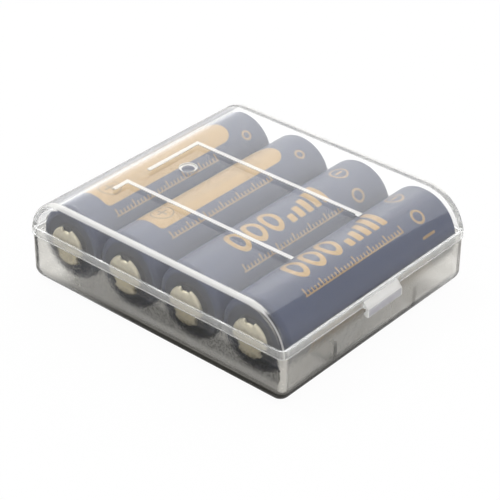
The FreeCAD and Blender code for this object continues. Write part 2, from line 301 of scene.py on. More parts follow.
def startTree(name, numbers):
    # A tree whose inputs are a blank, these numbers and a material
    tree = bpy.data.node_groups.new(name, "GeometryNodeTree")
    for label, kind, value in [("Blank", "Geometry", None)] + numbers + [("Finish", "Material", None)]:
        socket = tree.interface.new_socket(label, in_out="INPUT", socket_type="NodeSocket" + kind)
        if value is not None:
            socket.default_value = value
    tree.interface.new_socket("Piece", in_out="OUTPUT", socket_type="NodeSocketGeometry")
    return tree, Wire(tree).node("NodeGroupInput", out="Blank")


def endTree(given, whole):
    coat = {"Geometry": whole, "Material": given.other("Finish")}
    finish(given.node("GeometryNodeSetMaterial", None, coat), "NodeGroupOutput", "Piece")


def runTree(name, mesh, tree, values):
    # Sets the named inputs, runs the tree and keeps its plain mesh
    piece = linked(name, mesh)
    modifier = piece.modifiers.new("shape", "NODES")
    modifier.node_group = tree
    sockets = {item.name: item.identifier for item in tree.interface.items_tree if item.in_out == "INPUT"}
    for key, value in values.items():
        modifier[sockets[key]] = value
    piece.data = evaluated(piece)
    piece.modifiers.clear()
    outward(piece.data)
    return piece


# Materials

def started(name):
    material = bpy.data.materials.new(name)
    material.use_nodes = True
    material.node_tree.nodes.clear()
    return material, Wire(material.node_tree)


def ended(material, shader):
    finish(shader, "ShaderNodeOutputMaterial", "Surface")
    return material


def placeOn(start):
    # Object coordinates in millimetres
    raw = start.node("ShaderNodeTexCoord", out="Object")
    place = start.node("ShaderNodeVectorMath", {"operation": "SCALE"}, {0: raw, 3: 1000.0})
    x = start.node("ShaderNodeSeparateXYZ", None, {0: place})
    return place, x, x.other("Y"), x.other("Z")


def grain(start, place, scale, detail=3.0, stretch=None):
    vector = place
    if stretch:
        vector = start.node("ShaderNodeMapping", None, {0: place, 3: stretch})
    settings = {"noise_dimensions": "3D"}
    return start.node("ShaderNodeTexNoise", settings, {"Vector": vector, "Scale": scale, "Detail": detail})


def bumped(start, height, strength, distance):
    values = {"Height": height, "Strength": strength, "Distance": distance * mm}
    return start.node("ShaderNodeBump", None, values)


def either(masks):
    whole = masks[0]
    for mask in masks[1:]:
        whole = whole.maths("MAXIMUM", mask)
    return whole


def principled(start, values):
    return start.node("ShaderNodeBsdfPrincipled", None, values)


def apart(first, second):
    # Length of a way given by its two parts
    return (first * first + second * second).maths("SQRT")


def beyond(value, limit):
    return (value - limit).maths("MAXIMUM", 0.0)


def beside(level, span):
    # Two ends in millimetres, counted from a level
    return level + span[0], level + span[1]


def seeThrough(start, shader, tint):
    # Light on its way in or out passes the thin wall unbent
    path = start.node("ShaderNodeLightPath", out="Is Shadow Ray")
    passing = path.maths("MAXIMUM", path.other("Is Diffuse Ray"))
    clear = start.node("ShaderNodeBsdfTransparent", None, {0: tint})
    return passing.mixed(shader, clear)


lidBits = {
    # Latch tab: outline from the front wall outwards and up
    "tabWidth": 9.8, "tabSoft": 0.11,
    "tabOutline": [(0.3, 11.3), (-0.12, 11.28), (-1.4, 9.70), (-1.4, 8.10), (-0.85, 8.10), (-0.35, 8.45),
                   (-0.35, 8.75), (-0.75, 9.10)],
    "tabRoots": (-0.75, 0.3),
    # Raised lines
    "lineWidth": 0.8, "lineHeight": 0.25, "lineRoot": 0.3, "lineSoft": 0.1, "lineFar": 7.9, "lineNear": 11.3,
    "lineSpan": 40.0, "farHook": 14.0, "nearHook": 4.0, "endHook": 1.2,
    "gateY": 14.8, "gateRadius": 1.7, "gateDepth": 0.35, "gateSteps": 40,
    # Clip knuckles
    "knuckleRadius": 1.4, "knuckleWidth": 6.0, "bore": 0.85, "mouth": 0.65,
    "webRoot": 0.25, "webShare": 0.01, "webDrop": 0.05,
    # Height and outset of the band's edges, from its lower and its upper end
    "bandFoot": [(0.0, 0.02), (0.03, 0.09), (0.1, 0.12)],
    "bandHead": [(-0.1, 0.12), (-0.03, 0.09), (0.0, 0.02)],
    "roomRound": 0.35, "roofStart": 0.15, "rabbetRoom": 0.1,
}
lidLook = {
    "colour": (0.99, 0.99, 0.985, 1.0), "ior": 1.43, "roughness": 0.04, "passing": (0.93, 0.94, 0.94, 1.0),
    "smudgeScale": 0.11, "smudgeSpan": (0.45, 0.75), "smudgeRough": 0.035,
    "flowScale": 0.35, "flowStretch": (0.35, 1.0, 1.0), "flowBump": (0.12, 0.05),
    # The frost colour is painted highlight on the raised lines, the lid's edges, the tab's top and edges and
    # the gate's rim
    "frostAndGlintColour": (0.96, 0.95, 0.92, 1.0), "faceShadeColour": (0.46, 0.45, 0.50, 1.0), "frostRoughness": 0.40,
    "frostClear": 0.30, "cloudColour": (0.99, 0.985, 0.97, 1.0), "cloudRoughness": 0.45,
    "lineFrostAndGlint": 0.88, "edgeGlint": 0.9, "sideGlint": 0.6, "endFrost": 0.06, "tabSlope": 0.55,
    "tabFaceShade": 0.7, "tabEdge": 0.8, "tabSide": 0.75, "bandFrost": 0.22, "caughtCloud": 0.85,
    # Where each of these begins and is full, in millimetres from the edge or level it belongs to
    "gateInner": (-0.55, -0.4), "gateOuter": (0.05, 0.15), "gateFloor": (-0.6, -0.5),
    "skinSpan": (0.5, 0.85), "roofSpan": (-1.6, -0.5), "wideSpan": (0.85, 1.25), "narrowStart": (0.15, 0.3),
    "narrowEnd": (0.4, 0.6), "lineRise": (0.02, 0.1), "tabSpan": (-0.4, -0.15), "slopeSpan": (9.6, 9.8),
    "tabFoot": (8.14, 8.28), "tabRim": (-0.3, -0.15), "tabCheek": (-0.12, -0.04), "bandSpan": (-0.05, 0.05),
    "endSpan": (0.1, 0.2), "caughtSpan": (0.2, 0.7),
}


def gateRing(x, y, z):
    # The rim and wall of the gate's recess
    away = apart(x, y - lidBits["gateY"])
    rim = away.rise(*beside(lidBits["gateRadius"], lidLook["gateInner"]))
    outside = away.rise(*beside(lidBits["gateRadius"], lidLook["gateOuter"]))
    return rim * (1.0 - outside) * z.rise(*beside(case["height"], lidLook["gateFloor"]))


def lidPlastic():
    look = lidLook
    material, start = started("clearLidPlastic")
    place, x, y, z = placeOn(start)
    smudge = grain(start, place, look["smudgeScale"], 4.0).rise(*look["smudgeSpan"])
    flow = grain(start, place, look["flowScale"], 2.0, look["flowStretch"])
    rough = smudge * look["smudgeRough"] + look["roughness"]
    clear = principled(start, {
        "Base Color": look["colour"], "Roughness": rough, "IOR": look["ior"],
        "Transmission Weight": 1.0, "Normal": bumped(start, flow, *look["flowBump"])})
    # Inset below the arched outside, and the distance in from the ends
    outY = beyond(abs(y), case["halfWidth"] - case["lidRound"])
    outZ = beyond(z, case["height"] - case["lidRound"])
    inset = case["lidRound"] - apart(outY, outZ)
    fromEnd = case["halfLength"] - abs(x)
    skin = 1.0 - inset.rise(*look["skinSpan"])
    onRoof = z.rise(*beside(case["height"], look["roofSpan"]))
    wide = (1.0 - fromEnd.rise(*look["wideSpan"])) * onRoof * look["edgeGlint"]
    narrow = fromEnd.rise(*look["narrowStart"]) * (1.0 - fromEnd.rise(*look["narrowEnd"]))
    lines = z.rise(*beside(case["height"], look["lineRise"])) * look["lineFrostAndGlint"]
    # The tab's sloping top, its upright face, and the edges round that: painted highlight on the top and
    # edges, painted shade on the upright face
    cheek = lidBits["tabWidth"] / 2
    onTab = 1.0 - y.rise(*beside(-case["halfWidth"], look["tabSpan"]))
    slope = z.rise(*look["slopeSpan"])
    tabRim = abs(x).rise(*beside(cheek, look["tabRim"])) * (1.0 - slope)
    tabEdge = (1.0 - z.rise(*look["tabFoot"])).maths("MAXIMUM", tabRim)
    tabSide = abs(x).rise(*beside(cheek, look["tabCheek"]))
    # Painted shade: the tab's upright face is painted darker than its top
    tabFaceShade = onTab * (1.0 - slope) * (1.0 - tabEdge)
    tab = onTab * either([slope * look["tabSlope"], tabEdge * look["tabEdge"], tabSide * look["tabSide"]])
    # Painted highlight: this near-white frost stands in for the glints of the raised lines, the lid's edges,
    # the tab's top and edges and the gate's rim; the band and the ends get a little of the same frost
    frostAndGlint = principled(start, {
        "Base Color": tabFaceShade.blend(look["frostAndGlintColour"], look["faceShadeColour"]),
        "Roughness": look["frostRoughness"], "IOR": look["ior"],
        "Transmission Weight": look["frostClear"]})
    band = (1.0 - z.rise(*beside(case["bandTop"], look["bandSpan"]))) * look["bandFrost"]
    # Light caught inside a wall, or skimming it, meets the plastic's haze
    caught = start.node("ShaderNodeFresnel", None, {"IOR": look["ior"]}).rise(*look["caughtSpan"])
    cloud = principled(start, {
        "Base Color": look["cloudColour"], "Roughness": look["cloudRoughness"], "IOR": look["ior"],
        "Transmission Weight": 1.0})
    ends = (1.0 - fromEnd.rise(*look["endSpan"])) * look["endFrost"]
    gate = gateRing(x, y, z) * look["lineFrostAndGlint"]
    edges = skin * (wide + narrow * look["sideGlint"])
    mask = either([lines, edges, tab, tabFaceShade * look["tabFaceShade"], band, ends, gate])
    walls = (caught * look["caughtCloud"]).mixed(mask.mixed(clear, frostAndGlint), cloud)
    return ended(material, seeThrough(start, walls, look["passing"]))


trayLook = {
    "colour": (0.99, 0.98, 0.955, 1.0), "shade": (0.96, 0.945, 0.905, 1.0), "ior": 1.37, "roughness": 0.11,
    "gloss": (0.12, 0.12, 0.12, 1.0), "passing": (0.34, 0.34, 0.33, 1.0),
    "fineScale": 2.6, "fineRough": 0.12, "fineBump": (0.6, 0.12), "toneScale": 0.25, "toneSpan": (0.35, 0.7),
    "milkColour": (0.80, 0.77, 0.71, 1.0), "footShadeColour": (0.032, 0.030, 0.024, 1.0), "milkRoughness": 0.6,
    "milkGloss": 0.2, "cloudColour": (0.99, 0.985, 0.965, 1.0), "cloudRoughness": 0.35,
    # Shares of haze, of the painted shade at the foot, of the corner's painted highlight and of the cloudy
    # glow
    "speckle": 0.17, "longWall": 0.10, "nearEnds": 0.15, "farEnds": 0.18, "lowHaze": 0.12,
    "cornerHighlightShare": 0.6, "footShadeShare": 0.93, "caught": 0.6, "farCloud": 0.5, "shadeShare": 0.28,
    "shadeGrain": 0.24, "cornerFade": 0.3, "backFade": 0.85, "farFade": 0.8,
    # Where each of these begins and is full, in millimetres along x, y or z
    "footShadeSpan": (2.2, 3.2), "lowSpan": (2.5, 4.0), "shadeFoot": (3.9, 5.4), "shadeTop": (7.2, 8.8),
    "shadeFar": (-2.0, 15.0), "shadeNear": (-30.2, -28.8), "shadeTone": (0.05, 0.15), "farSpan": (-8.0, 8.0),
    "nearSpan": (14.0, 26.0), "cornerSpan": (20.0, 31.0), "darkBack": (-4.0, 22.0), "darkFar": (-20.0, 20.0),
    "cloudBack": (12.0, 27.0), "cloudFar": (0.0, 20.0), "cornerRise": (0.5, 1.3), "cornerDepth": (0.0, 0.8),
    # Counted from the outer faces, then for the specks and for the slant of the view
    "skinSpan": (-0.8, -0.5), "outerEnds": (-2.0, -1.6), "outerSides": (-2.4, -2.0),
    "speckScale": 2.3, "speckSpan": (0.55, 0.64), "shadeSpeck": (0.42, 0.60), "caughtSpan": (0.2, 0.7),
}


def trayPlastic():
    look = trayLook
    material, start = started("frostedTrayPlastic")
    place, x, y, z = placeOn(start)
    fine = grain(start, place, look["fineScale"], 4.0)
    speck = grain(start, place, look["speckScale"], 2.0)
    tone = grain(start, place, look["toneScale"], 3.0).rise(*look["toneSpan"])
    normal = bumped(start, fine, *look["fineBump"])
    clear = principled(start, {
        "Base Color": tone.blend(look["colour"], look["shade"]), "IOR": look["ior"],
        "Roughness": fine * look["fineRough"] + (look["roughness"] - look["fineRough"] / 2),
        "Transmission Weight": 1.0, "Specular Tint": look["gloss"], "Normal": normal})
    # Haze lies on the outer skin alone, so that the cells show through one layer of it
    endSkin = abs(x).rise(*beside(case["halfLength"], look["skinSpan"]))
    longSkin = abs(y).rise(*beside(case["halfWidth"], look["skinSpan"]))
    outer = abs(x).rise(*beside(case["halfLength"], look["outerEnds"])).maths(
        "MAXIMUM", abs(y).rise(*beside(case["halfWidth"], look["outerSides"])))
    # Painted shade: the underside's round is painted dark for the dark of the floor below it
    footShade = 1.0 - z.rise(*look["footShadeSpan"])
    # Painted shade: the end wall is painted darker where the cells' lower halves lie, broken up by the
    # frosting
    shade = z.rise(*look["shadeFoot"]) * (1.0 - z.rise(*look["shadeTop"])) * endSkin
    shade = shade * (1.0 - y.rise(*look["shadeFar"])) * y.rise(*look["shadeNear"])
    shade = shade * (speck.rise(*look["shadeSpeck"]) * look["shadeGrain"] + look["shadeShare"])
    # Both painted shades take the dark foot colour
    paintedShadeMask = footShade.maths("MAXIMUM", shade.rise(*look["shadeTone"]))
    milk = principled(start, {
        "Base Color": paintedShadeMask.blend(look["milkColour"], look["footShadeColour"]), "IOR": look["ior"],
        "Roughness": look["milkRoughness"], "Specular IOR Level": look["milkGloss"], "Normal": normal})
    # The painted shade of the foot fades towards the back, the far end and the near corner
    dark = footShade * outer * (1.0 - y.rise(*look["darkBack"]) * look["backFade"])
    dark = dark * (1.0 - (y * -1.0).rise(*look["cornerSpan"]) * look["cornerFade"])
    dark = dark * (1.0 - x.rise(*look["darkFar"]) * look["farFade"])
    # Painted highlight: the vertical corners get heavier haze, which lightens them
    outX = beyond(abs(x), case["halfLength"] - case["cornerRound"])
    outY = beyond(abs(y), case["halfWidth"] - case["cornerRound"])
    corner = apart(outX, outY).rise(*look["cornerRise"])
    corner = corner * outX.maths("MINIMUM", outY).rise(*look["cornerDepth"])
    farHaze = x.rise(*look["farSpan"]) * look["farEnds"]
    nearHaze = (x * -1.0).rise(*look["nearSpan"]) * look["nearEnds"]
    low = (1.0 - z.rise(*look["lowSpan"])) * endSkin
    haze = either([longSkin * (farHaze + nearHaze + look["longWall"]), corner * look["cornerHighlightShare"],
                   low * look["lowHaze"]])
    speckled = speck.rise(*look["speckSpan"]) * look["speckle"] * endSkin
    share = either([(haze + speckled) * (1.0 - footShade), dark * look["footShadeShare"], shade])
    # Where no cell stands behind it, and where it traps light, the wall glows like cloudy glass
    cloud = principled(start, {
        "Base Color": look["cloudColour"], "Roughness": look["cloudRoughness"], "IOR": look["ior"],
        "Specular Tint": look["gloss"], "Transmission Weight": 1.0, "Normal": normal})
    caught = start.node("ShaderNodeFresnel", None, {"IOR": look["ior"]}).rise(*look["caughtSpan"])
    farSide = either([y.rise(*look["cloudBack"]) * endSkin, x.rise(*look["cloudFar"]) * longSkin])
    glowing = either([caught * look["caught"], farSide * look["farCloud"]]) * (1.0 - dark)
    walls = share.mixed(glowing.mixed(clear, cloud), milk)
    return ended(material, seeThrough(start, walls, look["passing"]))


filmLook = {
    "navy": (0.017, 0.029, 0.082, 1.0), "navyWorn": (0.025, 0.039, 0.100, 1.0),
    "gold": (0.375, 0.225, 0.070, 1.0), "goldWorn": (0.44, 0.28, 0.105, 1.0), "goldMetal": 0.25,
    "brown": (0.10, 0.06, 0.03, 1.0), "roughness": 0.30, "wearRough": 0.10, "goldSmooth": 0.05,
    "faintShare": 0.35, "fineShare": 0.8, "brownShare": 0.7, "wearScale": 1.1, "wearSpan": (0.3, 0.8),
    "rippleScale": 0.28, "rippleStretch": (0.3, 1.0, 1.0), "printLift": 0.15, "rippleBump": (0.25, 0.06),
}

# One print wraps every sleeve. x runs along the cell, s round it from the panel's middle line, in
# millimetres. The level row lies further round, so its own s counts from its middle line.
sleevePrint = {
    "panel": (-17.9, 10.0, -3.6, 3.6), "panelCorner": 1.0,
    "panelEnd": (-5.0, 17.2, -3.6, 3.6), "panelEndCorner": 3.3,
    "plusRing": (-14.0, -0.1, 2.25, 0.25), "plusCorner": 0.15,
    "plusBars": [(-15.2, -12.8, -0.32, 0.12), (-14.22, -13.78, -1.3, 1.1)],
    "panelScale": (-10.4, 12.0, -0.7, 1.3), "panelLine": (-17.4, 10.4, 4.5, 6.1),
    "panelDot": (19.8, 4.4, 1.1, 0.45),
    "ovals": (-12.1, -7.6, -3.1), "ovalLevel": 0.05, "ovalHalf": (1.95, 2.95), "ovalHole": (0.95, 1.8),
    "steps": [(0.0, 1.5, 1.0, 2.85), (2.3, 3.8, 0.1, 2.85), (4.6, 6.1, -0.8, 2.85), (6.9, 8.4, -1.7, 2.85),
              (9.2, 10.7, -2.6, 2.85)],
    "stepCorner": 0.3, "levelLine": (-15.8, 11.8, 4.3, 5.9), "minusRing": (18.1, -1.3, 1.9, 0.42),
    "minusBar": (17.2, 19.0, -1.55, -1.05), "levelDot": (17.0, 4.9, 1.5, 0.5),
    "levelBar": (15.2, 18.8, 8.4, 8.9), "barCorner": 0.2,
    # Ticks of the scales, and how soft the ink's edges are
    "tickPitch": 0.9, "tickWidth": 0.34, "longEvery": 5.0, "shortShare": 0.4, "longSpan": (0.4, 0.6),
    "ruleSpan": (-0.3, -0.2), "soft": (-0.05, 0.05), "patchSoft": (-0.06, 0.06),
    "levelTurn": 14.9, "halfTurn": math.pi * cellRadius,
}
# How far round each cell has rolled: where its panel's middle line lies, from the top towards the front
cellRolls = {"cell_1": 0.5, "cell_2": -0.95, "cell_3": 0.75 + sleevePrint["levelTurn"],
             "cell_4": -1.0 + sleevePrint["levelTurn"]}


def roundedPatch(x, s, spot, corner):
    lowX, highX, lowS, highS = spot
    outX = beyond(abs(x - (lowX + highX) / 2), (highX - lowX) / 2 - corner)
    outS = beyond(abs(s - (lowS + highS) / 2), (highS - lowS) / 2 - corner)
    return 1.0 - apart(outX, outS).rise(*beside(corner, sleevePrint["patchSoft"]))


def ovalPatch(x, s, centreX, centreS, half):
    away = apart((x - centreX) / half[0], (s - centreS) / half[1])
    low, high = sleevePrint["soft"]
    return 1.0 - away.rise(1.0 + low / half[0], 1.0 + high / half[0])


def ringPatch(x, s, ring):
    centreX, centreS, radius, line = ring
    inner = radius - line
    whole = ovalPatch(x, s, centreX, centreS, (radius, radius))
    return whole - ovalPatch(x, s, centreX, centreS, (inner, inner))


def scaleRow(x, s, spot):
    # Ticks of a plain scale, every fifth one longer, on a thin line
    lowX, highX, lowS, highS = spot
    p = sleevePrint
    column = (x - lowX) / p["tickPitch"]
    seat = column.maths("FLOOR")
    longer = 1.0 - (seat % p["longEvery"]).rise(*p["longSpan"])
    off = abs(column % 1.0 - 0.5) * p["tickPitch"]
    stroke = 1.0 - off.rise(*beside(p["tickWidth"] / 2, p["soft"]))
    top = (1.0 - longer) * ((highS - lowS) * p["shortShare"]) + lowS
    above = 1.0 - s.rise(*beside(highS, p["soft"]))
    upright = (s - top).rise(*p["soft"]) * above
    line = s.rise(*beside(highS, p["ruleSpan"])) * above
    along = x.rise(*beside(lowX, p["soft"])) * (1.0 - x.rise(*beside(highX, p["soft"])))
    return (stroke * upright).maths("MAXIMUM", line) * along


def sleeveFilm(cell, place):
    material, start = started("printedSleeve_" + cell)
    spot, x, y, z = placeOn(start)
    p = sleevePrint
    look = filmLook
    around = ((y - place) * -1.0).maths("ARCTAN2", z - cellAxis) * cellRadius
    half = p["halfTurn"]
    panelS = (around - cellRolls[cell] + half) % (2 * half) - half
    levelS = (around - cellRolls[cell] + half + p["levelTurn"]) % (2 * half) - half
    solids = [roundedPatch(x, panelS, p["panel"], p["panelCorner"]),
              roundedPatch(x, panelS, p["panelEnd"], p["panelEndCorner"]),
              roundedPatch(x, levelS, p["minusBar"], p["barCorner"])]
    for centre in p["ovals"]:
        hole = ovalPatch(x, levelS, centre, p["ovalLevel"], p["ovalHole"])
        solids.append(ovalPatch(x, levelS, centre, p["ovalLevel"], p["ovalHalf"]) - hole)
    solids += [roundedPatch(x, levelS, step, p["stepCorner"]) for step in p["steps"]]
    fine = [scaleRow(x, panelS, p["panelLine"]), scaleRow(x, levelS, p["levelLine"]),
            roundedPatch(x, levelS, p["levelBar"], p["barCorner"]), ringPatch(x, panelS, p["panelDot"]),
            ringPatch(x, levelS, p["minusRing"]), ringPatch(x, levelS, p["levelDot"])]
    marks = [ringPatch(x, panelS, p["plusRing"]), scaleRow(x, panelS, p["panelScale"]) * look["faintShare"]]
    marks += [roundedPatch(x, panelS, bar, p["plusCorner"]) for bar in p["plusBars"]]
    wear = grain(start, spot, look["wearScale"], 4.0)
    worn = wear.rise(*look["wearSpan"])
    gold = worn.blend(look["gold"], look["goldWorn"])
    ink = (either(marks) * look["brownShare"]).blend(gold, look["brown"])
    printed = either(solids).maths("MAXIMUM", either(fine) * look["fineShare"])
    colour = printed.blend(worn.blend(look["navy"], look["navyWorn"]), ink)
    rough = wear * look["wearRough"] + look["roughness"] - printed * look["goldSmooth"]
    ripple = grain(start, spot, look["rippleScale"], 2.0, look["rippleStretch"])
    normal = bumped(start, ripple + printed * look["printLift"], *look["rippleBump"])
    shader = principled(start, {
        "Base Color": colour, "Roughness": rough, "Metallic": printed * look["goldMetal"], "Normal": normal})
    return ended(material, shader)


metalLook = {
    "can": {"colour": (0.62, 0.61, 0.59, 1.0), "shade": (0.50, 0.50, 0.49, 1.0), "roughness": 0.32},
    "cap": {"colour": (0.66, 0.60, 0.45, 1.0), "shade": (0.56, 0.51, 0.39, 1.0), "roughness": 0.36},
    "disc": {"colour": (0.70, 0.70, 0.71, 1.0), "shade": (0.60, 0.60, 0.62, 1.0), "roughness": 0.30},
    "metallic": 0.75, "grainScale": 1.6, "shadeSpan": (0.3, 0.75), "grainRough": 0.15,
    "grainBump": (0.15, 0.03),
    # Painted shade: the dark of the cap's vents is painted on, beginning behind the button's face
    "ventShadeSpan": (-24.30, -24.05), "ventShadeColour": (0.05, 0.05, 0.055, 1.0),
}
washerLook = {
    "dark": (0.017, 0.021, 0.042, 1.0), "pale": (0.034, 0.040, 0.068, 1.0), "fibreScale": 6.0,
    "roughness": 0.6, "fibreRough": 0.2, "fibreBump": (0.4, 0.05),
}


def metal(name, part):
    look = metalLook[part]
    material, start = started(name)
    place, x = placeOn(start)[:2]
    brushed = grain(start, place, metalLook["grainScale"], 4.0)
    tone = brushed.rise(*metalLook["shadeSpan"]).blend(look["colour"], look["shade"])
    # Painted shade inside the cap's vents
    if part == "cap":
        tone = x.rise(*metalLook["ventShadeSpan"]).blend(tone, metalLook["ventShadeColour"])
    rough = brushed * metalLook["grainRough"] + look["roughness"]
    normal = bumped(start, brushed, *metalLook["grainBump"])
    shader = principled(start, {
        "Base Color": tone, "Roughness": rough, "Metallic": metalLook["metallic"], "Normal": normal})
    return ended(material, shader)


def washerFibre():
    look = washerLook
    material, start = started("washerFibre")
    fibre = grain(start, placeOn(start)[0], look["fibreScale"], 5.0)
    shader = principled(start, {
        "Base Color": fibre.blend(look["dark"], look["pale"]),
        "Roughness": fibre * look["fibreRough"] + look["roughness"],
        "Normal": bumped(start, fibre, *look["fibreBump"])})
    return ended(material, shader)


# Lid

def makeLid():
    bits = lidBits
    bottom = case["seam"] + case["seamGap"]
    top = case["height"]
    over = case["overrun"]
    shell = endRounded("case_lid", case["halfLength"], case["lidEdge"],
                       lambda inset: archSection(inset, bottom + bits["roofStart"], top - inset))
    levels = [(bottom + up, out) for up, out in bits["bandFoot"]]
    levels += [(case["bandTop"] + up, out) for up, out in bits["bandHead"]]
    band = stacked("band", case["halfLength"], case["halfWidth"], case["cornerRound"], levels)
    front = -case["halfWidth"]
    outline = [(front + y, z) for y, z in bits["tabOutline"]]
    outline += [(front + y, bottom) for y in bits["tabRoots"]]
    cheek = bits["tabWidth"] / 2
    joins = [band, prism("tab", outline, -cheek, cheek, bits["tabSoft"])]
    cuts = []
    y, z, r = case["hingeY"], case["seam"], bits["knuckleRadius"]
    back = case["halfWidth"] - bits["webRoot"]
    mouth = bits["mouth"]
    web = [(back, bottom), (y, bottom), (y, z + r), (back, case["bandTop"] - bits["webDrop"])]
    slot = [(y - mouth, z - r - over), (y + mouth, z - r - over), (y + mouth, z), (y - mouth, z)]
    for side in (-1, 1):
        low = side * case["hingeX"] - bits["knuckleWidth"] / 2
        high = low + bits["knuckleWidth"]
        joins.append(rod("clip", y, z, r, low, high))
        joins.append(prism("clipWeb", web, low + bits["webShare"], high - bits["webShare"]))
        cuts.append(rod("clipBore", y, z, bits["bore"], low - over, high + over))
        cuts.append(prism("clipMouth", slot, low - over, high + over))
    joins += raisedLines(top)
    wall = case["wall"]
    inner = endRounded("lidRoom", case["halfLength"] - wall, bits["roomRound"],
                       lambda inset: archSection(wall + inset, bottom - over, top - case["roof"] - inset))
    skirt = case["skirt"]
    rabbet = stacked("rabbet", case["halfLength"] - skirt, case["halfWidth"] - skirt,
                     case["cornerRound"] - skirt,
                     [(bottom - over, 0.0), (bottom + case["lipHeight"] + bits["rabbetRoom"], 0.0)])
    circle = arc((0, bits["gateY"]), bits["gateRadius"], 0, 360, bits["gateSteps"])[:-1]
    gate = plate("gate", circle, top - bits["gateDepth"], top + over)
    return smoothed(combined(shell, joins, [inner, rabbet, gate] + cuts))


def raisedLines(top):
    bits = lidBits
    half = bits["lineSpan"] / 2
    wide = bits["lineWidth"]
    outer = bits["lineFar"] + wide / 2
    inner = outer - wide
    hook = outer - bits["farHook"]
    stub = outer - bits["endHook"]
    far = [(outer, -half), (outer, half), (hook, half), (hook, half - wide), (inner, half - wide),
           (inner, wide - half), (stub, wide - half), (stub, -half)]
    outer = wide / 2 - bits["lineNear"]
    inner = outer - wide
    hook = outer - bits["nearHook"]
    near = [(outer, -half), (outer, half), (hook, half), (hook, half - wide), (inner, half - wide),
            (inner, -half)]
    low, high = top - bits["lineRoot"], top + bits["lineHeight"]
    return [plate(name, outline, low, high, bits["lineSoft"])
            for name, outline in (("farLine", far), ("nearLine", near))]


# Tray

trayBits = {
    "ribX": 11.5, "ribThickness": 1.0, "ribFoot": 1.0, "ribTop": 5.5, "ribHalfWidth": 29.9,
    "saddleRadius": 7.45, "ribSteps": 180,
    "earRadius": 1.3, "earThickness": 1.2, "earPlace": 3.9, "earDrop": 4.0, "earLevel": 0.31,
    "eyeShare": 0.005, "earLower": (0.8, 0.6), "pinRadius": 0.8, "roomRound": 0.5, "shellDrop": 0.12,
    # Catch bead from the front wall outwards, and the heights and outsets of rim and lip from the seam
    "catchOutline": [(0.3, 9.45), (0.0, 9.45), (-0.6, 9.25), (-0.6, 9.10), (0.0, 8.90), (0.3, 8.90)],
    "catchHalf": 3.5, "catchSoft": 0.05,
    "rim": [(-0.5, -0.05), (-0.45, 0.02), (-0.06, 0.02), (-0.02, 0.0), (0.0, -0.05)],
    "lip": [(-0.3, 0.0), (case["lipHeight"] - 0.1, 0.0), (case["lipHeight"], -0.08)],
}


def ribTree():
    # Slabs across the tray, their tops cut to the cells' saddles
    bits = trayBits
    sizes = [("Spread", bits["ribX"] * 2), ("Thickness", bits["ribThickness"]),
             ("Half Width", bits["ribHalfWidth"]), ("Bottom", bits["ribFoot"]), ("Top", bits["ribTop"]),
             ("Saddle Radius", bits["saddleRadius"]), ("Cell Pitch", cellPitch), ("Cell Axis", cellAxis)]
    tree, given = startTree("saddleRibs", [(name, "Float", size * mm) for name, size in sizes])
    spread = given.other("Spread")
    height = given.other("Top") - given.other("Bottom")
    size = given.node("ShaderNodeCombineXYZ", None, {
        0: given.other("Thickness"), 1: given.other("Half Width") * 2.0, 2: height})
    slab = given.node("GeometryNodeMeshCube", None, {
        "Size": size, "Vertices X": 2, "Vertices Y": bits["ribSteps"], "Vertices Z": 2})
    place = given.node("GeometryNodeInputPosition")
    x = given.node("ShaderNodeSeparateXYZ", None, {0: place})
    y, z = x.other("Y"), x.other("Z")
    pitch = given.other("Cell Pitch")
    off = abs(((y + pitch * 2.0) % pitch) - pitch / 2.0)
    radius = given.other("Saddle Radius")
    drop = (radius * radius - off * off).maths("MAXIMUM", 0.0).maths("SQRT")
    saddle = (given.other("Cell Axis") - drop).maths("MINIMUM", given.other("Top"))
    upper = z.maths("GREATER_THAN", 0.0)
    level = upper * saddle + (1.0 - upper) * given.other("Bottom")
    spot = given.node("ShaderNodeCombineXYZ", None, {0: x, 1: y, 2: level})
    shaped = given.node("GeometryNodeSetPosition", None, {"Geometry": slab, "Position": spot})
    start = given.node("ShaderNodeCombineXYZ", None, {0: spread * -0.5})
    step = given.node("ShaderNodeCombineXYZ", None, {0: spread})
    row = given.node("GeometryNodeMeshLine", None, {"Count": 2, "Start Location": start, "Offset": step})
    ribs = given.node("GeometryNodeInstanceOnPoints", None, {"Points": row, "Instance": shaped})
    whole = given.node("GeometryNodeRealizeInstances", None, {"Geometry": ribs})
    endTree(given, whole)
    return tree


def makeTray(material):
    bits = trayBits
    wall = case["wall"]
    seam = case["seam"]
    over = case["overrun"]
    shell = tub("case_tray", seam - bits["shellDrop"])
    rim = stacked("rim", case["halfLength"], case["halfWidth"], case["cornerRound"],
                  [(seam + up, out) for up, out in bits["rim"]])
    inset = case["lipInset"]
    lip = stacked("lip", case["halfLength"] - inset, case["halfWidth"] - inset, case["cornerRound"] - inset,
                  [(seam + up, out) for up, out in bits["lip"]])
    outline = [(y - case["halfWidth"], z) for y, z in bits["catchOutline"]]
    catch = prism("catch", outline, -bits["catchHalf"], bits["catchHalf"], bits["catchSoft"])
    joins = [rim, lip, catch]
    y, r = case["hingeY"], bits["earRadius"]
    back = case["halfWidth"] - over
    across, down = bits["earLower"]
    level = seam - bits["earLevel"]
    web = [(back, seam - bits["earDrop"]), (y + r * across, seam - r * down), (y, seam),
           (y - r * across, level), (back, level)]
    reach = bits["earPlace"]
    for side in (-1, 1):
        middle = side * case["hingeX"]
        for place in (middle - reach, middle + reach):
            low = place - bits["earThickness"] / 2
            high = low + bits["earThickness"]
            joins.append(prism("earWeb", web, low, high))
            joins.append(rod("earEye", y, seam, r, low + bits["eyeShare"], high - bits["eyeShare"]))
        joins.append(rod("pin", y, seam, bits["pinRadius"], middle - reach, middle + reach))
    top = seam + case["lipHeight"] + over
    room = endRounded("trayRoom", case["halfLength"] - wall, bits["roomRound"],
                      lambda inset: troughSection(wall + inset, case["floor"] + inset, top))
    tray = combined(shell, joins, [room])
    ribs = runTree("ribs", bpy.data.meshes.new("blank"), ribTree(), {"Finish": material})
    return smoothed(combined(tray, [ribs], []))


# Cells

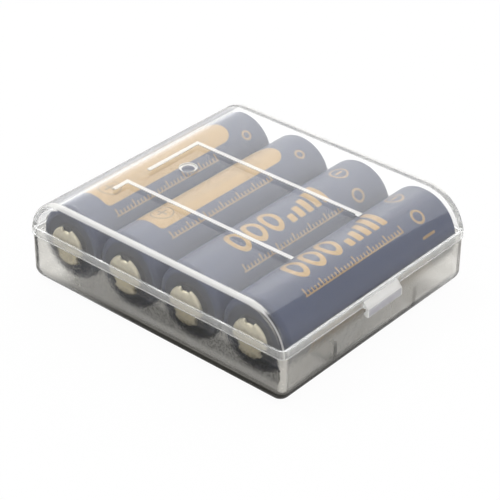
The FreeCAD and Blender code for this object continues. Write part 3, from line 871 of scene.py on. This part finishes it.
# Outlines run along the cell: x and radius. Vents are pressed into the cap's button.
cellShapes = {
    "steps": 96, "capSteps": 144,
    "sleeve": [(-22.55, 7.2), (-22.82, 7.16), (-23.08, 7.03), (-23.29, 6.83), (-23.42, 6.58), (-23.45, 6.3),
               (-23.45, 5.95), (-23.43, 5.88), (-23.37, 5.86), (-23.31, 5.88), (-23.30, 5.95), (-23.30, 6.3),
               (-23.25, 6.6), (-23.08, 6.83), (-22.83, 7.0), (-22.55, 7.05), (0.0, 7.05), (23.85, 7.05),
               (24.13, 7.0), (24.38, 6.83), (24.55, 6.6), (24.60, 6.3), (24.60, 5.7), (24.61, 5.63),
               (24.67, 5.6), (24.73, 5.63), (24.75, 5.7), (24.75, 6.3), (24.72, 6.58), (24.59, 6.83),
               (24.38, 7.03), (24.12, 7.16), (23.85, 7.2), (0.0, 7.2), (-22.55, 7.2)],
    "can": [(-22.55, 0.0), (-22.55, 6.55), (-22.45, 6.85), (-22.25, 7.0), (-21.9, 7.03), (0.0, 7.03),
            (23.85, 7.03), (24.12, 6.98), (24.36, 6.82), (24.53, 6.58), (24.58, 6.3), (24.58, 5.2),
            (24.54, 5.0), (24.53, 0.0)],
    "washer": [(-23.29, 4.2), (-23.29, 6.2), (-23.25, 6.45), (-23.16, 6.6), (-23.16, 4.2), (-23.29, 4.2)],
    "cap": [(-24.75, 0.0), (-24.75, 1.2), (-24.75, 2.2), (-24.75, 3.0), (-24.75, 3.25), (-24.72, 3.45),
            (-24.64, 3.62), (-24.53, 3.73), (-24.38, 3.79), (-24.20, 3.8), (-23.87, 3.8), (-23.85, 3.8),
            (-23.40, 3.8), (-23.24, 3.85), (-23.16, 4.0), (-23.15, 4.2), (-23.15, 6.1), (-23.12, 6.18),
            (-23.05, 6.2), (-22.93, 6.2), (-22.88, 6.18), (-22.85, 6.1), (-22.85, 0.0)],
    "ventCount": 3, "ventHalfWidth": 1.1, "ventDepth": 0.75, "ventFloor": -23.86, "ventCore": 2.9,
    "ventSoft": 0.08, "smoothAngle": 50,
}


def turningTree():
    # Turns the blank's points (x, radius) about a cell's axis and presses vents into the button's rim
    names = ("Place Y", "Place Z", "Vent Count", "Vent Half Width", "Vent Depth", "Vent Floor", "Vent Core")
    numbers = [("Steps", "Int", cellShapes["steps"])] + [(name, "Float", 0.0) for name in names]
    tree, outline = startTree("turnedPiece", numbers)
    steps = outline.other("Steps")
    rows = outline.node("GeometryNodeAttributeDomainSize", {"component": "MESH"}, {0: outline})
    columns = steps + 1.0
    sheet = outline.node("GeometryNodeMeshGrid", None, {"Size X": 1.0, "Size Y": 1.0, "Vertices X": rows,
                                                        "Vertices Y": columns})
    index = outline.node("GeometryNodeInputIndex")
    # The small surplus keeps a whole row from rounding down
    row = (index / columns + 0.0001).maths("FLOOR")
    turn = (index - row * columns) / steps * (2 * math.pi)
    place = outline.node("GeometryNodeInputPosition")
    source = outline.node("GeometryNodeSampleIndex", {"data_type": "FLOAT_VECTOR"},
                          {"Geometry": outline, "Value": place, "Index": row})
    x = outline.node("ShaderNodeSeparateXYZ", None, {0: source})
    radius = x.other("Y")
    share = turn * outline.other("Vent Count") / (2 * math.pi)
    nearest = share - (share + 0.5).maths("FLOOR")
    off = abs(nearest) * (2 * math.pi) / outline.other("Vent Count").maths("MAXIMUM", 1.0) * radius
    ventHalf = outline.other("Vent Half Width")
    soft = cellShapes["ventSoft"] * mm
    inVent = 1.0 - off.rise(ventHalf - soft, ventHalf + soft)
    onButton = radius.maths("GREATER_THAN", outline.other("Vent Core"))
    above = x.maths("LESS_THAN", outline.other("Vent Floor")) * onButton
    cut = radius - inVent * above * outline.other("Vent Depth")
    y = cut * turn.maths("SINE") + outline.other("Place Y")
    z = cut * turn.maths("COSINE") + outline.other("Place Z")
    spot = outline.node("ShaderNodeCombineXYZ", None, {0: x, 1: y, 2: z})
    shaped = outline.node("GeometryNodeSetPosition", None, {"Geometry": sheet, "Position": spot})
    closed = outline.node("GeometryNodeMergeByDistance", None, {"Geometry": shaped, "Distance": weldGap})
    whole = outline.node("GeometryNodeRealizeInstances", None, {"Geometry": closed})
    endTree(outline, whole)
    return tree


def turned(name, part, place, tree, material):
    shapes = cellShapes
    outline = bpy.data.meshes.new(name + "_outline")
    points = [(x * mm, radius * mm, 0.0) for x, radius in shapes[part]]
    outline.from_pydata(points, [(index, index + 1) for index in range(len(points) - 1)], [])
    values = {"Steps": shapes["capSteps" if part == "cap" else "steps"], "Place Y": place * mm,
              "Place Z": cellAxis * mm, "Finish": material}
    if part == "cap":
        values["Vent Count"] = float(shapes["ventCount"])
        for socket, key in (("Vent Half Width", "ventHalfWidth"), ("Vent Depth", "ventDepth"),
                            ("Vent Floor", "ventFloor"), ("Vent Core", "ventCore")):
            values[socket] = shapes[key] * mm
    return smoothed(runTree(name, outline, tree, values), shapes["smoothAngle"])


# Stage

stageLook = {
    "floorColour": (0.86, 0.86, 0.86, 1.0), "floorHalf": 1500, "floorLevel": -0.02,
    "white": (1.0, 1.0, 1.0, 1.0), "whiteShare": 0.96, "ambient": 0.55, "underShare": 0.25,
    "mirrorShare": 0.70, "nearMargin": 1.5, "farMargin": 9.0, "farEdge": 1.0,
    "cameraPlace": (-211.59, -182.17, 185.92), "azimuth": -49.3665, "elevation": 32.7574, "roll": 0.4334,
    "lens": 128.27, "sensor": 36.0, "clip": 0.01,
}
# The window panel's corners in millimetres, whose slanted edge the lid's front round mirrors
windowPanel = {
    "corners": [(500, -447, 200), (500, -138, 900), (500, 800, 900), (500, 800, 200)], "radiance": 2.1,
}
# Softboxes: place, point aimed at, width, height in metres, radiance
softboxes = {
    "overhead": ((-0.22, -0.10, 0.75), (0.0, 0.0, 0.0), 0.50, 0.50, 1.5),
    "backLamp": ((-0.02, 0.36, 0.54), (0.0, 0.0, 0.0), 0.16, 0.16, 9.0),
    "frontLamp": ((0.16, -0.60, 0.22), (0.0, 0.0, 0.0), 0.30, 0.30, 1.2),
}


def makeStage():
    look = stageLook
    white = look["white"]
    far, level = look["floorHalf"], look["floorLevel"]
    floor = meshPiece("floor", [(-far, -far, level), (far, -far, level), (far, far, level),
                                (-far, far, level)], [(0, 1, 2, 3)])
    material, start = started("paleFloor")
    x, y = placeOn(start)[1:3]
    # Painted shadow: the case's soft shadow, as the wall shows it, is shaped by this mask, which cuts back
    # the white floor under the case so the lamps' own shade shows; it reaches less far under the back and
    # the far end
    near, far, edge = look["nearMargin"], look["farMargin"], look["farEdge"]
    outside = either([(x - case["halfLength"]).rise(-far, edge), (y - case["halfWidth"]).rise(-far, edge),
                      (x * -1.0 - case["halfLength"]).rise(-near, near),
                      (y * -1.0 - case["halfWidth"]).rise(-near, near)])
    path = start.node("ShaderNodeLightPath", out="Is Camera Ray")
    under = outside * (1.0 - look["underShare"]) + look["underShare"]
    through = path.other("Is Transmission Ray") * under
    seen = path.maths("MAXIMUM", through) * look["whiteShare"]
    matt = start.node("ShaderNodeBsdfDiffuse", None, {"Color": look["floorColour"]})
    bright = start.node("ShaderNodeEmission", None, {"Color": white, "Strength": 1.0})
    mirrored = start.node("ShaderNodeEmission", None, {"Color": white, "Strength": look["mirrorShare"]})
    # A rough clear wall's onward rays count as both kinds
    mirroring = path.other("Is Glossy Ray") * (1.0 - path.other("Is Transmission Ray"))
    surface = mirroring.mixed(seen.mixed(matt, bright), mirrored)
    floor.data.materials.append(ended(material, surface))

    panel = meshPiece("windowPanel", windowPanel["corners"], [(0, 1, 2, 3)])
    material, start = started("windowLight")
    glow = start.node("ShaderNodeEmission", None, {"Strength": windowPanel["radiance"]})
    panel.data.materials.append(ended(material, glow))
    panel.visible_camera = False

    world = bpy.data.worlds.new("studio")
    bpy.context.scene.world = world
    world.use_nodes = True
    world.node_tree.nodes.clear()
    start = Wire(world.node_tree)
    path = start.node("ShaderNodeLightPath", out="Is Camera Ray")
    seen = either([path, path.other("Is Transmission Ray"), path.other("Is Glossy Ray")])
    soft = start.node("ShaderNodeBackground", None, {"Color": white, "Strength": look["ambient"]})
    plain = start.node("ShaderNodeBackground", None, {"Color": white, "Strength": 1.0})
    finish(seen.mixed(soft, plain), "ShaderNodeOutputWorld", "Surface")

    for name, (place, aim, wide, high, radiance) in softboxes.items():
        light = bpy.data.lights.new(name, "AREA")
        light.shape = "RECTANGLE"
        light.size, light.size_y = wide, high
        # Watts that give an area lamp of this size its radiance
        light.energy = 4.0 * wide * high * radiance
        box = bpy.data.objects.new(name, light)
        box.location = place
        box.rotation_euler = (Vector(aim) - Vector(place)).to_track_quat("-Z", "Y").to_euler()
        bpy.context.scene.collection.objects.link(box)

    # The camera's own axes, from its direction and its roll
    azimuth, elevation, roll = (math.radians(look[key]) for key in ("azimuth", "elevation", "roll"))
    flat = math.cos(elevation)
    back = Vector((math.sin(azimuth) * flat, -math.cos(azimuth) * flat, math.sin(elevation)))
    right = Vector((math.cos(azimuth), math.sin(azimuth), 0.0))
    up = back.cross(right)
    across = right * math.cos(roll) + up * math.sin(roll)
    upward = up * math.cos(roll) - right * math.sin(roll)
    data = bpy.data.cameras.new("camera")
    data.lens = look["lens"]
    data.sensor_width = look["sensor"]
    data.clip_start = look["clip"]
    camera = bpy.data.objects.new("camera", data)
    turn = Matrix((across, upward, back)).transposed().to_4x4()
    camera.matrix_world = Matrix.Translation(Vector(look["cameraPlace"]) * mm) @ turn
    bpy.context.scene.collection.objects.link(camera)
    bpy.context.scene.camera = camera
    bpy.context.scene.view_settings.view_transform = "Standard"


makeStage()
print("stage and camera made")

lid = makeLid()
settle(lid, "lid", "lid_plastic", lidPlastic(), "lid")
print("lid:", len(lid.data.polygons), "faces")

trayFinish = trayPlastic()
tray = makeTray(trayFinish)
settle(tray, "tray", "tray_plastic", trayFinish, "tray")
print("tray:", len(tray.data.polygons), "faces")

tree = turningTree()
canFinish = metal("canMetal", "can")
capFinish = metal("capNickel", "cap")
discFinish = metal("discFoil", "disc")
washerFinish = washerFibre()
for cell, place in cellPlaces.items():
    parts = [("sleeve", "sleeve_film", sleeveFilm(cell, place), "sleeve"),
             ("can", "can_metal", canFinish, "can"),
             ("cap", "cap_nickel", capFinish, "cap"),
             ("washer", "washer_card", washerFinish, "insulating_washer")]
    for part, slot, coat, node in parts:
        piece = turned(cell + "_visual_" + part, part, place, tree, coat)
        settle(piece, cell, slot, coat, cell + "_" + node)
    disc = bpy.data.objects[cell + "_vent_disc"]
    disc.data.materials.clear()
    disc.data.materials.append(discFinish)
    print(cell, "made")
